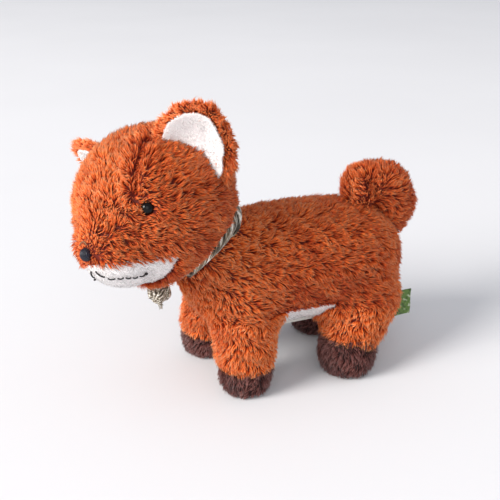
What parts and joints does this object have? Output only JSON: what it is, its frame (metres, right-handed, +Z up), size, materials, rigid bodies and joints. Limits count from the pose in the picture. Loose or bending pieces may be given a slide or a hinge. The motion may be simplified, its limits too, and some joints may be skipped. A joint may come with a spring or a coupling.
{
  "type": "interactive plush pet",
  "caption": "Small standing plush animal with a motor-driven turning head and wagging tail around a battery-powered plastic core.",
  "frame": {"origin": "centre of the bounding box's base, on the ground that the paws stand on", "axes": "+Z up; the animal looks along -X; its left side is at -Y"},
  "size_m": [0.2102, 0.1161, 0.168],
  "materials": {
    "rust_plush": "long pile",
    "cream_plush": "short pile",
    "brown_plush": "long pile",
    "scarf_cotton": "woven",
    "label_ribbon": "woven",
    "eye_plastic": "gloss",
    "nose_thread": "satin stitch",
    "mouth_thread": "thread",
    "core_plastic": "moulded",
    "black_plastic": "moulded",
    "gear_nylon": "moulded",
    "steel": "plain",
    "brass": "turned",
    "board": "solder mask",
    "cell_sleeve": "printed film"
  },
  "bodies": {
    "body": {"torso_cover": "rust_plush", "belly_panel": "cream_plush", "scarf_band": "scarf_cotton", "scarf_knot": "scarf_cotton", "side_label": "label_ribbon", "leg_front_left": "rust_plush", "leg_front_right": "rust_plush", "leg_rear_left": "rust_plush", "leg_rear_right": "rust_plush", "paw_front_left": "brown_plush", "paw_front_right": "brown_plush", "paw_rear_left": "brown_plush", "paw_rear_right": "brown_plush", "core_left": "core_plastic", "core_right": "core_plastic", "core_screws": "steel", "battery_box": "core_plastic", "battery_cells": "cell_sleeve", "battery_contacts": "steel", "switch_body": "black_plastic", "circuit_board": "board", "board_parts": "black_plastic", "speaker": "steel", "speaker_cone": "black_plastic", "press_switch": "black_plastic", "neck_motor": "steel", "neck_bush": "brass", "tail_motor": "steel", "tail_bush": "brass"},
    "head": {"neck_gear": "gear_nylon", "neck_shaft": "steel", "head_frame": "core_plastic", "head_screw": "steel", "head_cover": "rust_plush", "muzzle_panel": "cream_plush", "ear_left": "rust_plush", "ear_right": "rust_plush", "ear_lining_left": "cream_plush", "ear_lining_right": "cream_plush", "eye_left": "eye_plastic", "eye_right": "eye_plastic", "eye_washers": "core_plastic", "nose": "nose_thread", "mouth_stitches": "mouth_thread"},
    "tail": {"tail_gear": "gear_nylon", "tail_shaft": "steel", "tail_arm": "core_plastic", "tail_cover": "rust_plush"},
    "neck_drive": {"neck_pinion": "brass"},
    "tail_drive": {"tail_pinion": "brass"},
    "door": {"battery_door": "core_plastic", "door_screws": "steel"},
    "power_slider": {"switch_slider": "black_plastic"},
    "button": {"press_button": "core_plastic"}
  },
  "joints": [
    {"name": "head_turn", "type": "hinge", "parent": "body", "child": "head", "pos_m": [-0.0338, -0.0062, 0.0881], "axis": [-0.6428, 0, 0.766], "range_deg": [-58, 4]},
    {"name": "neck_pinion_spin", "type": "hinge", "parent": "body", "child": "neck_drive", "pos_m": [-0.02384, -0.0062, 0.09646], "axis": [-0.6428, 0, 0.766], "range_deg": [-20, 200]},
    {"name": "tail_wag", "type": "hinge", "parent": "body", "child": "tail", "pos_m": [0.0757, -0.0062, 0.09], "axis": [0, 0, 1], "range_deg": [-18, 18]},
    {"name": "tail_pinion_spin", "type": "hinge", "parent": "body", "child": "tail_drive", "pos_m": [0.0652, -0.0062, 0.07], "axis": [0, 0, 1], "range_deg": [-50, 50]},
    {"name": "door_lift", "type": "slide", "parent": "body", "child": "door", "axis": [0, 0, -1], "range_m": [0, 0.015]},
    {"name": "power_slide", "type": "slide", "parent": "body", "child": "power_slider", "axis": [1, 0, 0], "range_m": [0, 0.003]},
    {"name": "button_press", "type": "slide", "parent": "body", "child": "button", "axis": [0, 0, -1], "range_m": [0, 0.0012], "stiffness_N_per_m": 400}
  ],
  "couplings": [
    {"joint": "neck_pinion_spin", "follows": "head_turn", "ratio": -3.3333},
    {"joint": "tail_pinion_spin", "follows": "tail_wag", "ratio": -2.5}
  ]
}
